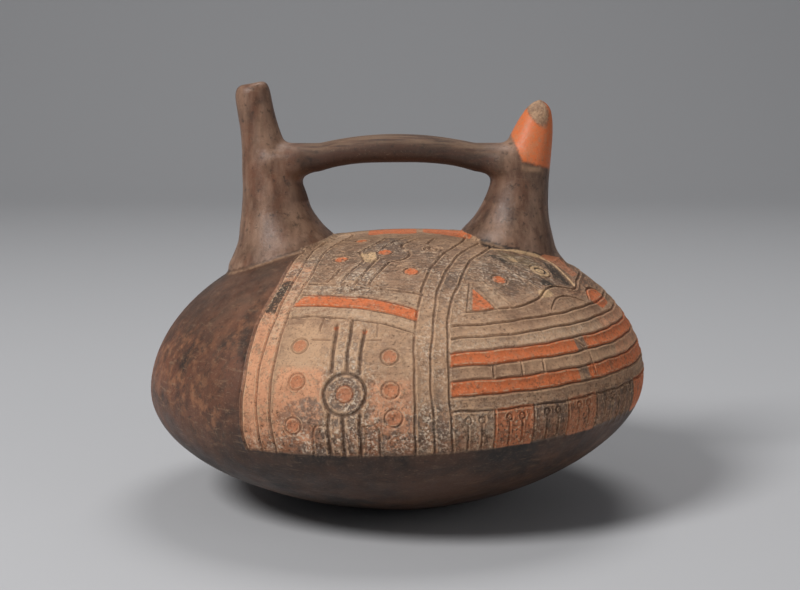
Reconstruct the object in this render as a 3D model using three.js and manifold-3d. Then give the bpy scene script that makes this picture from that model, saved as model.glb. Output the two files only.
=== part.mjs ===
import * as THREE from 'three';
import { mergeVertices } from 'three/addons/utils/BufferGeometryUtils.js';
import Module from 'manifold-3d';

const wasm = await Module();
wasm.setup();

// Lengths are in millimetres. The origin is the middle of the flat foot, and Z is up.
// The front is -Y, and the ornamented face looks towards +X.

// Body: a low round jar, drawn in to a small flat foot
const body = {
  radius: 90,
  footRadius: 22,
  girthHeight: 43.9,
  crownRise: 53,
  lean: 0.0285,
  shoulderOut: 0.855,
  shoulderUp: 1.06,
  bellyIn: 1.56,
  bellyDown: 1,
  leanFade: 4,
};
const wall = 5;
const footWall = 6;
const bodySides = 36;
const shoulderRows = 9;
const bellyRows = 7;
const cavitySides = 18;
const cavityRows = 4;
const crownCap = 0.25;

// Spouts: round sections, each with its height up from the crown, its place along X and its radius
const openSpout = [
  { up: -18, x: -41.0, radius: 20.0 },
  { up: -12, x: -41.0, radius: 20.6 },
  { up: -8, x: -39.8, radius: 20.0 },
  { up: -3, x: -39.3, radius: 18.6 },
  { up: 2.7, x: -41.9, radius: 15.3 },
  { up: 8.5, x: -43.7, radius: 12.8 },
  { up: 14.3, x: -44.5, radius: 11.6 },
  { up: 23, x: -46.1, radius: 10.0 },
  { up: 31, x: -47.9, radius: 8.2 },
  { up: 37.3, x: -49.5, radius: 7.1 },
  { up: 45.8, x: -51.3, radius: 6.5 },
  { up: 51.8, x: -52.2, radius: 6.1 },
];
const lip = { up: 53, slope: 0.19, round: 1.2, inset: 0.85, overcut: 3.6, x: -52.3, radius: 5.9 };
const blindSpout = [
  { up: -17, x: 41.0, radius: 20.6 },
  { up: -12, x: 41.0, radius: 21.2 },
  { up: -7, x: 39.6, radius: 18.9 },
  { up: -0.3, x: 39.4, radius: 17.0 },
  { up: 5.6, x: 41.4, radius: 13.8 },
  { up: 14.3, x: 43.6, radius: 11.2 },
  { up: 23, x: 45.1, radius: 10.1 },
  { up: 31.5, x: 47.3, radius: 8.6 },
  { up: 37.3, x: 48.9, radius: 7.2 },
  { up: 42.4, x: 50.2, radius: 5.6 },
  { up: 45.8, x: 51.0, radius: 3.8 },
  { up: 48, x: 51.4, radius: 1.7 },
  { up: 48.7, x: 51.5, radius: 0.6 },
];
const spoutWall = 2.2;
const lipWall = 1.9;
const blindWall = 4;
const boreAtBase = { x: -42.5, radius: 11.5 };
const hollowTop = 38;
const spoutSides = 14;
const boreSides = 12;

// Bridge: a rounded strap that arches from spout to spout
const bridge = {
  crestUp: 35.8,
  crestFall: 3.2,
  soffitUp: 25.7,
  soffitFall: 3.4,
  halfSpan: 28,
  halfWidth: 8.5,
  filletRun: 8,
  filletDrop: 3.4,
  filletSpread: 1.7,
  squareness: 0.85,
  sides: 10,
};

// Cuts of the incised ornament
const line = { width: 1.4, depth: 0.9, step: 20 };
const deepLine = { width: 1.9, depth: 1.3, step: 14 };
const fineLine = { width: 1.1, depth: 0.7, step: 14 };
const cutAbove = 3;
const dotDepth = 0.7;
const dotSides = 6;
const discSides = 10;
const eyeSides = 8;

// Ornament, in degrees round the body from the front and in steps up the wall from the girth.
// It is drawn for a wall of 115 steps from girth to crown, which is a millimetre a step on this jar.
const sheetHeight = 115;
const lowerEdge = -8;
const endLines = [
  [[-33.8, lowerEdge], [-35, 12], [-38.5, 37], [-42.5, 54], [-56, 72], [-90, 88]],
  [[-29.7, lowerEdge], [-31.4, 12], [-34.2, 40], [-38.5, 58], [-52, 76], [-90, 92.5]],
  [[-26.4, lowerEdge], [-28.3, 17], [-31.2, 46], [-34.5, 63], [-46, 80], [-90, 99]],
];
const faceLines = [
  [[3.8, lowerEdge], [3.6, 17], [5.5, 43], [12, 63], [24, 76.5], [48, 85], [90, 90]],
  [[7.7, lowerEdge], [7.2, 17], [10.8, 45], [18, 62], [33, 75], [60, 82], [90, 85]],
  [[11.4, lowerEdge], [11, 17], [14, 41], [22, 57], [34, 69], [56, 76], [90, 79]],
];
const crossLines = [
  [[-32.2, 55.3], [-19, 55.8], [-7, 54.2], [7.4, 49.8]],
  [[-31.4, 49.2], [-18, 50], [-7, 48.6], [5.8, 42.8]],
  [[-30.8, 44], [-18, 44.6], [-7, 43.4], [5, 37.8]],
  [[-29.9, 38.6], [-19, 40], [-7, 38.2], [4.6, 32.8]],
];
const mouthBands = { lowest: 5, pitch: 4.95, count: 7, from: [11.2, 14.2], bend: 3, sag: 2.2, halfWay: 0.4 };
const browLine = [[18.5, 40.4], [36, 40.3], [44, 42.8], [52.5, 46.3], [63, 42.6], [72, 45.4], [90, 46]];
const lidLine = [[45, 37], [50.4, 40.8], [55, 40.8], [61, 36.6]];
const noseLine = [[64, 36], [69, 40], [74, 40], [78, 36.4]];
const foreheadLines = [
  [[25.8, 60], [32.5, 41]],
  [[24.2, 54.4], [18.8, 40.6]],
  [[24.2, 52], [27.6, 40.6]],
];
const eye = { place: [58.3, 55], radius: 3.6 };
const eyeEdge = [[47.5, 45.5], [42.5, 56], [46, 66], [58, 69.5], [70, 62], [72.5, 51], [66, 43.5]];
const fringe = { first: 11.4, cell: 9.1, cells: 6, pins: [3.2, 6.2], head: 2, short: 1 };

// The disc figure stands twice in the panel between the bands: on the side, and leaning on the crown
const sideDisc = { place: [-11.1, 12], radius: 6.9, pit: 2.9 };
const crownDisc = { place: [-7.4, 81.5], radius: 7.8, pit: 2.7 };
const discStems = [
  [[-15.5, 36.5], [-14.5, 19.3]],
  [[-8.2, 34], [-8.2, 18.7]],
  [[-14.1, 5.4], [-14.1, lowerEdge]],
  [[-7.7, 5.4], [-7.5, lowerEdge]],
  [[-11.6, 39], [-11.1, 19.4]],
  [[-11.1, 5], [-11, lowerEdge]],
  [[-24.5, 85], [-32, 99]],
  [[-16.9, 74.4], [-18.5, 61]],
  [[-1, 72.5], [-9, 59]],
  [[4, 82], [20, 94]],
];
const discFeet = [
  [[-19.6, 39], [-19.6, 34.4]],
  [[-20.4, 30.6], [-16.3, 30.6]],
  [[-4.9, 37], [-4.9, 32.2]],
  [[-7.6, 30.6], [-3.9, 30.6]],
  [[-14, 1.4], [-16.9, 1.4], [-17.6, lowerEdge]],
  [[-7.4, 1.4], [-4, 1.4], [-3.5, lowerEdge]],
  [[-9.2, 76], [-14.3, 56]],
  [[-24.7, 69.5], [-24.8, 58.5]],
];
const dots = [
  { place: [-23.4, 28], radius: 2.8 },
  { place: [-22, 15.6], radius: 2.8 },
  { place: [-21.9, 1.2], radius: 2.8 },
  { place: [-1.7, 24.5], radius: 2.9 },
  { place: [-1.4, 13.2], radius: 2.9 },
  { place: [-0.7, 4.2], radius: 2.9 },
  { place: [-28.4, 74], radius: 2.5 },
  { place: [5.5, 64.5], radius: 2.6 },
  { place: [22.4, 82.5], radius: 2.7 },
  { place: [36, 54.6], radius: 2.7 },
];

const clay = new THREE.MeshStandardMaterial({ color: 0x8c6248, roughness: 0.6, metalness: 0 });

// Half outline of the jar as radius and height over the girth: at runs from -1 at the foot to 1 at the crown
function outline(shape, at) {
  const turn = Math.abs(at) * Math.PI / 2;
  const cos = Math.max(Math.cos(turn), 0);
  const sin = Math.sin(turn);
  if (at >= 0) {
    return [shape.radius * cos ** shape.shoulderOut, shape.crownRise * sin ** shape.shoulderUp];
  }
  const inward = (shape.radius - shape.footRadius) * cos ** shape.bellyIn;
  return [shape.footRadius + inward, -shape.girthHeight * sin ** shape.bellyDown];
}

// How far the lean lifts a point: all of it from the girth up, none of it at the foot
function leanAt(shape, at, x) {
  const share = at >= 0 ? 1 : 1 - Math.sin(-at * Math.PI / 2) ** shape.leanFade;
  return shape.lean * x * share;
}

function jarPoint(shape, at, turn) {
  const [radius, height] = outline(shape, at);
  const x = radius * Math.cos(turn);
  return new THREE.Vector3(x, radius * Math.sin(turn), height + body.girthHeight + leanAt(shape, at, x));
}

// Solids
function toSolid(geometry) {
  const bare = geometry.clone();
  bare.deleteAttribute('normal');
  bare.deleteAttribute('uv');
  const merged = mergeVertices(bare);
  const corners = merged.index.array;
  const kept = [];
  for (let i = 0; i < corners.length; i += 3) {
    const [a, b, c] = corners.slice(i, i + 3);
    if (a !== b && b !== c && c !== a) {
      kept.push(a, b, c);
    }
  }
  const vertProperties = Float32Array.from(merged.attributes.position.array);
  return new wasm.Manifold(new wasm.Mesh({ numProp: 3, vertProperties, triVerts: Uint32Array.from(kept) }));
}

function centre(ring) {
  return ring.reduce((sum, point) => sum.add(point), new THREE.Vector3()).divideScalar(ring.length);
}

// Skins a row of rings of equal count: each end is closed by a fan, or the last ring meets the first
function loft(rings, joined = false) {
  const count = rings[0].length;
  const points = rings.flat();
  const corners = [];
  const spans = joined ? rings.length : rings.length - 1;
  for (let i = 0; i < spans; i += 1) {
    for (let j = 0; j < count; j += 1) {
      const here = i * count;
      const next = ((i + 1) % rings.length) * count;
      const k = (j + 1) % count;
      corners.push(here + j, here + k, next + k, here + j, next + k, next + j);
    }
  }
  if (!joined) {
    const top = (rings.length - 1) * count;
    points.push(centre(rings[0]), centre(rings[rings.length - 1]));
    for (let j = 0; j < count; j += 1) {
      const k = (j + 1) % count;
      corners.push(k, j, points.length - 2, top + j, top + k, points.length - 1);
    }
  }
  const geometry = new THREE.BufferGeometry().setFromPoints(points);
  geometry.setIndex(isInsideOut(points, corners) ? corners.reverse() : corners);
  return toSolid(geometry);
}

function isInsideOut(points, corners) {
  let volume = 0;
  for (let i = 0; i < corners.length; i += 3) {
    const [a, b, c] = corners.slice(i, i + 3).map((index) => points[index]);
    volume += a.dot(b.clone().cross(c));
  }
  return volume < 0;
}

function jar(shape, sides, shoulderSteps, bellySteps) {
  const stations = [];
  for (let i = -bellySteps; i < 0; i += 1) {
    stations.push(i / bellySteps);
  }
  for (let i = 0; i < shoulderSteps; i += 1) {
    stations.push(i / shoulderSteps);
  }
  const turns = Array.from({ length: sides }, (_, j) => (j / sides) * Math.PI * 2);
  const crownRing = 1 - crownCap / shoulderSteps;
  return loft([...stations, crownRing].map((at) => turns.map((turn) => jarPoint(shape, at, turn))));
}

const crownHeight = body.girthHeight + body.crownRise;

// A round section, level or sloping along X
function section(station, sides, slope = 0) {
  return Array.from({ length: sides }, (_, j) => {
    const turn = (j / sides) * Math.PI * 2;
    const reach = station.radius * Math.cos(turn);
    const height = crownHeight + station.up + slope * reach;
    return new THREE.Vector3(station.x + reach, station.radius * Math.sin(turn), height);
  });
}

function openSpoutSolid() {
  const rings = openSpout.map((station) => section(station, spoutSides));
  const top = { up: lip.up + lip.round, x: lip.x, radius: lip.radius - lip.inset };
  rings.push(section(lip, spoutSides, lip.slope), section(top, spoutSides, lip.slope));
  return loft(rings);
}

function openSpoutBore() {
  const bore = openSpout.map((station) => ({
    up: station.up,
    x: Math.min(station.x, boreAtBase.x),
    radius: Math.min(station.radius - spoutWall, boreAtBase.radius),
  }));
  const mouth = { up: lip.up, x: lip.x, radius: lip.radius - lipWall };
  const above = { ...mouth, up: lip.up + lip.overcut };
  return loft([...bore, mouth, above].map((station) => section(station, boreSides)));
}

function blindSpoutHollow() {
  const inner = blindSpout.filter((station) => station.up < hollowTop).map((station) => ({
    up: station.up,
    x: station.x,
    radius: Math.min(station.radius - blindWall, boreAtBase.radius),
  }));
  return loft(inner.map((station) => section(station, boreSides)));
}

function placeAt(spout, up) {
  const next = spout.findIndex((station) => station.up >= up);
  const [from, to] = [spout[next - 1], spout[next]];
  return THREE.MathUtils.lerp(from.x, to.x, (up - from.up) / (to.up - from.up));
}

// The bridge runs from the middle of one spout to the middle of the other, with fillets under its ends
function bridgeSolid() {
  const middle = (bridge.crestUp + bridge.soffitUp) / 2;
  const clear = bridge.halfSpan;
  const arch = [-1, -0.8, -0.45, 0, 0.45, 0.8, 1].map((share) => share * clear);
  const run = [0.45, 0.75, 1].map((share) => clear + share * bridge.filletRun);
  const starts = [placeAt(openSpout, middle), ...run.map((x) => -x).reverse()];
  const along = [...starts, ...arch, ...run, placeAt(blindSpout, middle)];
  return loft(along.map((x) => {
    const share = Math.min(Math.abs(x) / clear, 1);
    const into = THREE.MathUtils.clamp((Math.abs(x) - clear) / bridge.filletRun, 0, 1) ** 2;
    const crest = crownHeight + bridge.crestUp - bridge.crestFall * share ** 2;
    const soffit = crownHeight + bridge.soffitUp - bridge.soffitFall * share ** 3 - bridge.filletDrop * into;
    const wide = bridge.halfWidth + bridge.filletSpread * into;
    return Array.from({ length: bridge.sides }, (_, j) => {
      const turn = (j / bridge.sides) * Math.PI * 2;
      const across = squared(Math.cos(turn), bridge.squareness);
      const up = squared(Math.sin(turn), bridge.squareness);
      return new THREE.Vector3(x, wide * across, (crest + soffit) / 2 + up * (crest - soffit) / 2);
    });
  }));
}

function squared(value, power) {
  return Math.sign(value) * Math.abs(value) ** power;
}

// Lengths along the wall, on which the ornament's steps are laid off
const wallSteps = 400;
const wallTable = [];
for (let i = 0, run = 0; i <= wallSteps * 2; i += 1) {
  const at = i / wallSteps - 1;
  const [radius, height] = outline(body, at);
  const before = wallTable[i - 1];
  run += before ? Math.hypot(radius - before.radius, height - before.height) : 0;
  wallTable.push({ at, radius, height, run });
}
const girthRun = wallTable[wallSteps].run;
const stepLength = (wallTable[wallSteps * 2].run - girthRun) / sheetHeight;

function wallAt(rise) {
  const run = THREE.MathUtils.clamp(rise * stepLength + girthRun, 0, wallTable[wallSteps * 2].run);
  const next = Math.max(wallTable.findIndex((entry) => entry.run >= run), 1);
  const from = wallTable[next - 1];
  const share = (run - from.run) / (wallTable[next].run - from.run);
  return THREE.MathUtils.lerp(from.at, wallTable[next].at, share);
}

function onWall([azimuth, rise]) {
  const turn = THREE.MathUtils.degToRad(azimuth - 90);
  return jarPoint(body, wallAt(rise), turn);
}

// The sheet is a disc round the crown, on which every line of the ornament is a smooth curve
function toSheet([azimuth, rise]) {
  const turn = THREE.MathUtils.degToRad(azimuth);
  const out = sheetHeight - rise;
  return new THREE.Vector3(out * Math.sin(turn), -out * Math.cos(turn), 0);
}

function fromSheet(point) {
  const azimuth = THREE.MathUtils.radToDeg(Math.atan2(point.x, -point.y));
  return [azimuth, sheetHeight - Math.hypot(point.x, point.y)];
}

function outwardAt([azimuth, rise]) {
  const small = 0.5;
  const round = onWall([azimuth + small, rise]).sub(onWall([azimuth - small, rise]));
  const up = onWall([azimuth, rise + small]).sub(onWall([azimuth, rise - small]));
  return round.cross(up).normalize();
}

// A groove with a pointed bed, cut along places on the wall
function groove(places, cut, joined = false) {
  const points = places.map(onWall);
  const half = (cut.width / 2) * (cut.depth + cutAbove) / cut.depth;
  const rings = places.map((place, i) => {
    const count = places.length;
    const from = points[joined ? (i + count - 1) % count : Math.max(i - 1, 0)];
    const to = points[joined ? (i + 1) % count : Math.min(i + 1, count - 1)];
    const out = outwardAt(place);
    const aside = to.clone().sub(from).cross(out).normalize();
    const top = points[i].clone().addScaledVector(out, cutAbove);
    return [
      top.clone().addScaledVector(aside, half),
      points[i].clone().addScaledVector(out, -cut.depth),
      top.clone().addScaledVector(aside, -half),
    ];
  });
  return loft(rings, joined);
}

function drawn(places, cut) {
  const curve = new THREE.CatmullRomCurve3(places.map(toSheet), false, 'centripetal');
  const steps = Math.max(Math.ceil(curve.getLength() / cut.step), 1);
  return groove(curve.getSpacedPoints(steps).map(fromSheet), cut);
}

function circle([azimuth, rise], radius, sides) {
  const ring = Math.hypot(...onWall([azimuth, rise]).toArray().slice(0, 2));
  return Array.from({ length: sides }, (_, j) => {
    const turn = (j / sides) * Math.PI * 2;
    const aside = THREE.MathUtils.radToDeg(radius * Math.cos(turn) / ring);
    return [azimuth + aside, rise + radius * Math.sin(turn)];
  });
}

function pit(place, radius, depth) {
  const rim = circle(place, radius, dotSides);
  const out = outwardAt(place);
  return loft([-depth, cutAbove].map((height) => rim.map((at) => onWall(at).addScaledVector(out, height))));
}

function mouthLines() {
  const [low, high] = mouthBands.from;
  return Array.from({ length: mouthBands.count }, (_, i) => {
    const rise = mouthBands.lowest + mouthBands.pitch * i;
    const start = THREE.MathUtils.lerp(low, high, (i / (mouthBands.count - 1)) ** mouthBands.bend);
    const sag = mouthBands.sag * (1 - i / mouthBands.count);
    return [[start, rise], [(start + 90) / 2, rise - sag * mouthBands.halfWay], [90, rise - sag]];
  });
}

function fringeCuts() {
  const top = mouthBands.lowest;
  const cuts = [];
  for (let i = 0; i < fringe.cells; i += 1) {
    const start = fringe.first + fringe.cell * i;
    const pins = fringe.pins.map((pin) => [start + pin, fringe.head]);
    for (const [azimuth, rise] of [...pins, [start + fringe.cell, top]]) {
      cuts.push(drawn([[azimuth, rise], [azimuth, lowerEdge + fringe.short]], fineLine));
    }
  }
  return cuts;
}

// A line that ends on the plane between the two sides goes on over the back, to the same end
function throughBack(places) {
  const back = places.slice(0, -1).reverse().map(([azimuth, rise]) => [180 - azimuth, rise]);
  return [...places, ...back];
}

// The frame of lines goes round both sides, the figures in it are on the front
function frameCuts() {
  const lines = [...endLines, ...faceLines, ...mouthLines(), browLine];
  return lines.map((places) => drawn(throughBack(places), line));
}

function figureCuts() {
  const discs = [sideDisc, crownDisc];
  return [
    ...discs.map((disc) => groove(circle(disc.place, disc.radius, discSides), deepLine, true)),
    ...discs.map((disc) => pit(disc.place, disc.pit, dotDepth)),
    ...discStems.map((places) => drawn(places, deepLine)),
    ...[...crossLines, noseLine].map((places) => drawn(places, line)),
    ...[...discFeet, ...foreheadLines, eyeEdge, lidLine].map((places) => drawn(places, fineLine)),
    ...dots.map((dot) => pit(dot.place, dot.radius, dotDepth)),
    groove(circle(eye.place, eye.radius, eyeSides), fineLine, true),
    ...fringeCuts(),
  ];
}

function joinAll(solids) {
  return solids.reduce((sum, solid) => sum.add(solid));
}

function incisedJar() {
  const cuts = joinAll([...frameCuts(), ...figureCuts()]);
  return jar(body, bodySides, shoulderRows, bellyRows).subtract(cuts);
}

function cavity() {
  const inside = {
    ...body,
    radius: body.radius - wall,
    footRadius: body.footRadius - wall,
    girthHeight: body.girthHeight - footWall,
    crownRise: body.crownRise - wall,
  };
  return jar(inside, cavitySides, cavityRows, cavityRows).add(openSpoutBore()).add(blindSpoutHollow());
}

function vesselMesh() {
  const spouts = openSpoutSolid().add(loft(blindSpout.map((station) => section(station, spoutSides))));
  const solid = incisedJar().add(spouts).add(bridgeSolid()).subtract(cavity());
  const { vertProperties, triVerts } = solid.getMesh();
  const geometry = new THREE.BufferGeometry();
  geometry.setAttribute('position', new THREE.BufferAttribute(vertProperties, 3));
  geometry.setIndex(new THREE.BufferAttribute(triVerts, 1));
  geometry.computeVertexNormals();
  const mesh = new THREE.Mesh(geometry, clay);
  mesh.name = 'vessel';
  return mesh;
}

const model = new THREE.Group();
model.add(vesselMesh());

export default model;
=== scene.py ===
from math import pi, radians
import bpy
import bmesh
import numpy as np
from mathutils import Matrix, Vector, kdtree
from mathutils.geometry import delaunay_2d_cdt


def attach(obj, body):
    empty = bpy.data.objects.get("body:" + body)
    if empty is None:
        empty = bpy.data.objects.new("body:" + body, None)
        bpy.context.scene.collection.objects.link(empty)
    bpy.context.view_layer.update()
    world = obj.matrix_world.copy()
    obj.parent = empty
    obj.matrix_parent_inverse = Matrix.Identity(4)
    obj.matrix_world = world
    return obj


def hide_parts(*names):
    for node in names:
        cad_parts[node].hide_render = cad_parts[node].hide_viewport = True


mm = 0.001
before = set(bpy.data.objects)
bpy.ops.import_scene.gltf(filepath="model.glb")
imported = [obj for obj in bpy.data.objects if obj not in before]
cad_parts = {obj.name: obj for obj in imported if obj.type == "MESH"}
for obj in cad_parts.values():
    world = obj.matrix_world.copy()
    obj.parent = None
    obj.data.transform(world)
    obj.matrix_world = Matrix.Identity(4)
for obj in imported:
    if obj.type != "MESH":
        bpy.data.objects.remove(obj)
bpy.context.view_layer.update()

# Camera, at the photo's height and tilt
cameraFit = {"eye": (0, -0.620, 0.1689), "tiltDown": 8.71, "turn": 0.09, "lens": 77.08, "sensor": 36}

cameraData = bpy.data.cameras.new("studioCamera")
cameraData.lens = cameraFit["lens"]
cameraData.sensor_width = cameraFit["sensor"]
camera = bpy.data.objects.new("studioCamera", cameraData)
camera.location = cameraFit["eye"]
camera.rotation_euler = (radians(90 - cameraFit["tiltDown"]), 0, radians(-cameraFit["turn"]))
bpy.context.collection.objects.link(camera)
bpy.context.scene.camera = camera

# Form of the jar, in millimetres, as the solid has it
jarForm = {
    "radius": 90, "footRadius": 22, "girthHeight": 43.9, "crownRise": 53, "lean": 0.0285,
    "shoulderOut": 0.855, "shoulderUp": 1.06, "bellyIn": 1.56, "bellyDown": 1, "leanFade": 4,
    "wall": 5, "footWall": 6,
}
crownHeight = jarForm["girthHeight"] + jarForm["crownRise"]


def outline(form, at):
    turn = np.abs(at) * pi / 2
    cosTurn = np.maximum(np.cos(turn), 0)
    sinTurn = np.sin(turn)
    belly = form["footRadius"] + (form["radius"] - form["footRadius"]) * cosTurn ** form["bellyIn"]
    radius = np.where(at >= 0, form["radius"] * cosTurn ** form["shoulderOut"], belly)
    shoulder = form["crownRise"] * sinTurn ** form["shoulderUp"]
    height = np.where(at >= 0, shoulder, -form["girthHeight"] * sinTurn ** form["bellyDown"])
    return radius, height


def leanShare(form, at):
    return np.where(at >= 0, 1, 1 - np.sin(np.clip(-at, 0, 1) * pi / 2) ** form["leanFade"])


# The ornament is laid off in degrees round the jar and in steps up the wall, 115 from girth to crown
sheetHeight = 115
wallAts = np.linspace(-1, 1, 1601)
wallRadii, wallHeights = outline(jarForm, wallAts)
wallRuns = np.concatenate([[0], np.cumsum(np.hypot(np.diff(wallRadii), np.diff(wallHeights)))])
girthRun = np.interp(0, wallAts, wallRuns)
stepLength = (wallRuns[-1] - girthRun) / sheetHeight
wallRises = (wallRuns - girthRun) / stepLength
wallAngles = np.arctan2(wallHeights, wallRadii)
wallReaches = np.hypot(wallHeights, wallRadii)


def onWall(azimuth, rise):
    at = np.interp(rise, wallRises, wallAts)
    radius, height = outline(jarForm, at)
    turn = np.radians(azimuth)
    x = radius * np.sin(turn)
    z = height + jarForm["girthHeight"] + jarForm["lean"] * x * leanShare(jarForm, at)
    return np.stack([x, -radius * np.cos(turn), z], axis=-1)


def placeOf(points):  # azimuth, rise and height off the wall of points in millimetres
    x, y, z = points.T
    radius = np.hypot(x, y)
    share = np.ones_like(x)
    for _ in range(3):
        height = z - jarForm["girthHeight"] - jarForm["lean"] * x * share
        angle = np.arctan2(height, radius)
        share = leanShare(jarForm, np.interp(angle, wallAngles, wallAts))
    rise = np.interp(angle, wallAngles, wallRises)
    off = np.hypot(radius, height) - np.interp(angle, wallAngles, wallReaches)
    return np.degrees(np.arctan2(x, -y)), rise, off


def toSheet(places):
    azimuth, rise = np.asarray(places, float).T
    turn = np.radians(azimuth)
    out = sheetHeight - rise
    return np.stack([out * np.sin(turn), -out * np.cos(turn)], axis=-1)


def fromSheet(points):
    x, y = np.asarray(points).T
    return np.stack([np.degrees(np.arctan2(x, -y)), sheetHeight - np.hypot(x, y)], axis=-1)


def fromPlan(points):  # places on the shoulder from x and y seen from above
    x, y = np.asarray(points, float).T
    upper = wallAts >= 0
    rise = np.interp(-np.hypot(x, y), -wallRadii[upper], wallRises[upper])
    return np.stack([np.degrees(np.arctan2(x, -y)), rise], axis=-1).tolist()


def smoothLine(places, step=1.2):  # a centripetal curve through the places, with even steps
    ends = toSheet(places)
    if len(ends) == 2:
        curve = ends
    else:
        pad = [2 * ends[0] - ends[1], *ends, 2 * ends[-1] - ends[-2]]
        parts = []
        share = np.linspace(0, 1, 24, endpoint=False)[:, None]
        for a, b, c, d in zip(pad, pad[1:], pad[2:], pad[3:]):
            first, middle, last = (max(np.linalg.norm(q - p), 1e-6) ** 0.5 for p, q in ((a, b), (b, c), (c, d)))
            into = middle * ((b - a) / first - (c - a) / (first + middle) + (c - b) / middle)
            away = middle * ((c - b) / middle - (d - b) / (middle + last) + (d - c) / last)
            parts.append(
                b + into * share
                + (3 * (c - b) - 2 * into - away) * share ** 2
                + (2 * (b - c) + into + away) * share ** 3
            )
        curve = np.concatenate([*parts, ends[-1:]])
    runs = np.concatenate([[0], np.cumsum(np.linalg.norm(np.diff(curve, axis=0), axis=1))])
    count = max(int(np.ceil(runs[-1] / step)), 2)
    even = np.linspace(0, runs[-1], count + 1)
    return fromSheet(np.stack([np.interp(even, runs, curve[:, k]) for k in (0, 1)], axis=-1))


def circleAt(place, radius, count=40):
    azimuth, rise = place
    ring = np.hypot(*onWall(np.array(azimuth), np.array(rise))[:2])
    turn = np.linspace(0, 2 * pi, count + 1)
    aside = np.degrees(radius * np.cos(turn) / ring)
    return np.stack([azimuth + aside, rise + radius * np.sin(turn)], axis=-1)


def overBack(places):  # the same line on both sides of the jar
    back = [[180 - azimuth, rise] for azimuth, rise in places[:-1][::-1]]
    return [*places, *back]


def roundTo(places, most=8):  # adds places between those that lie far apart round the jar
    azimuths, rises = np.asarray(places, float).T
    wanted = np.unique(np.concatenate([
        np.linspace(a, b, max(int(abs(b - a) / most), 1) + 1) for a, b in zip(azimuths, azimuths[1:])
    ]))
    return np.stack([wanted, np.interp(wanted, azimuths, rises)], axis=-1).tolist()


# Incised lines, as [degrees from the front, steps up from the girth]
lowerEdge = -8
ornament = {
    "endLines": [
        [[-33.8, lowerEdge], [-35, 12], [-38.5, 37], [-42.5, 54], [-56, 72], [-90, 88]],
        [[-29.7, lowerEdge], [-31.4, 12], [-34.2, 40], [-38.5, 58], [-52, 76], [-90, 92.5]],
        [[-26.4, lowerEdge], [-28.3, 17], [-31.2, 46], [-34.5, 63], [-46, 80], [-90, 99]],
    ],
    "faceLines": [
        [[3.8, lowerEdge], [3.6, 17], [5.5, 43], [12, 63], [24, 76.5], [48, 85], [90, 90]],
        [[7.7, lowerEdge], [7.2, 17], [10.8, 45], [18, 62], [33, 75], [60, 82], [90, 85]],
        [[11.4, lowerEdge], [11, 17], [14, 41], [22, 57], [34, 69], [56, 76], [90, 79]],
    ],
    "crossLines": [
        [[-32.2, 55.3], [-19, 55.8], [-7, 54.2], [7.4, 49.8]],
        [[-31.4, 49.2], [-18, 50], [-7, 48.6], [5.8, 42.8]],
        [[-30.8, 44], [-18, 44.6], [-7, 43.4], [5, 37.8]],
        [[-29.9, 38.6], [-19, 40], [-7, 38.2], [4.6, 32.8]],
    ],
    "brow": [[18.5, 40.4], [36, 40.3], [44, 42.8], [52.5, 46.3], [63, 42.6], [72, 45.4], [90, 46]],
    "lid": [[45, 37], [50.4, 40.8], [55, 40.8], [61, 36.6]],
    "nose": [[64, 36], [69, 40], [74, 40], [78, 36.4]],
    "forehead": [[[25.8, 60], [32.5, 41]], [[24.2, 54.4], [18.8, 40.6]], [[24.2, 52], [27.6, 40.6]]],
    "maskEdge": [
        [54, 75.3], [57.8, 73.8], [63.5, 71.2], [68.2, 66], [72.5, 60.8], [73.4, 56.5], [69.8, 51.8], [66.8, 47],
        [64.8, 43.5],
    ],
    "maskFold": [[38.5, 69.8], [41.5, 68.2], [43.8, 64], [43.5, 59.2], [44.2, 55], [45.5, 51.5], [46.8, 47.2]],
    "stems": [
        [[-15.5, 36.5], [-14.5, 19.3]],
        [[-8.2, 34], [-8.2, 18.7]],
        [[-14.1, 5.4], [-14.1, lowerEdge]],
        [[-7.7, 5.4], [-7.5, lowerEdge]],
        [[-11.6, 39], [-11.1, 19.4]],
        [[-11.1, 5], [-11, lowerEdge]],
    ],
    "crownFigure": [
        [
            [-19.8, 59], [-18.5, 65.5], [-16, 73.2], [-18.2, 76.5], [-23, 81.2], [-22, 85.2], [-19.2, 91.8],
            [-16.2, 102],
        ],
        [
            [-9.2, 57.5], [-7.8, 62.8], [-5.5, 68.5], [-3.5, 71.8], [2.8, 74], [6.8, 78.5], [7, 82], [3, 87.8],
            [10.8, 93.2], [24, 98],
        ],
        [[-15, 54.5], [-12.8, 64.2], [-9.5, 75.8]],
        [[-10.2, 86.2], [-2.5, 95], [21, 103]],
        [[-24.8, 57.5], [-24, 60.8], [-23.8, 66]],
        [[25, 90.2], [41, 95]],
    ],
    "feet": [
        [[-19.6, 39], [-19.6, 34.4]],
        [[-20.4, 30.6], [-16.3, 30.6]],
        [[-4.9, 37], [-4.9, 32.2]],
        [[-7.6, 30.6], [-3.9, 30.6]],
        [[-14, 1.4], [-16.9, 1.4], [-17.6, lowerEdge]],
        [[-7.4, 1.4], [-4, 1.4], [-3.5, lowerEdge]],
        [[21, 15.4], [21.3, 19.4]],
        [[28, 15.2], [28.3, 19.2]],
        [[33.7, 15], [34, 19]],
        [[46.2, 23.6], [48.6, 19], [48.8, 11]],
    ],
}
mouthBands = {"lowest": 5, "pitch": 4.95, "count": 7, "from": (11.2, 14.2), "bend": 3, "sag": 2.2, "halfWay": 0.4}
fringe = {"first": 11.4, "cell": 9.1, "cells": 6, "pins": (3.2, 6.2), "head": 2, "headRadius": 1.1, "short": 1}
discs = [
    {"place": (-11.1, 12), "radius": 6.9, "pit": 2.9},
    {"place": (-7.4, 81.5), "radius": 7.8, "pit": 2.7},
]
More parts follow.
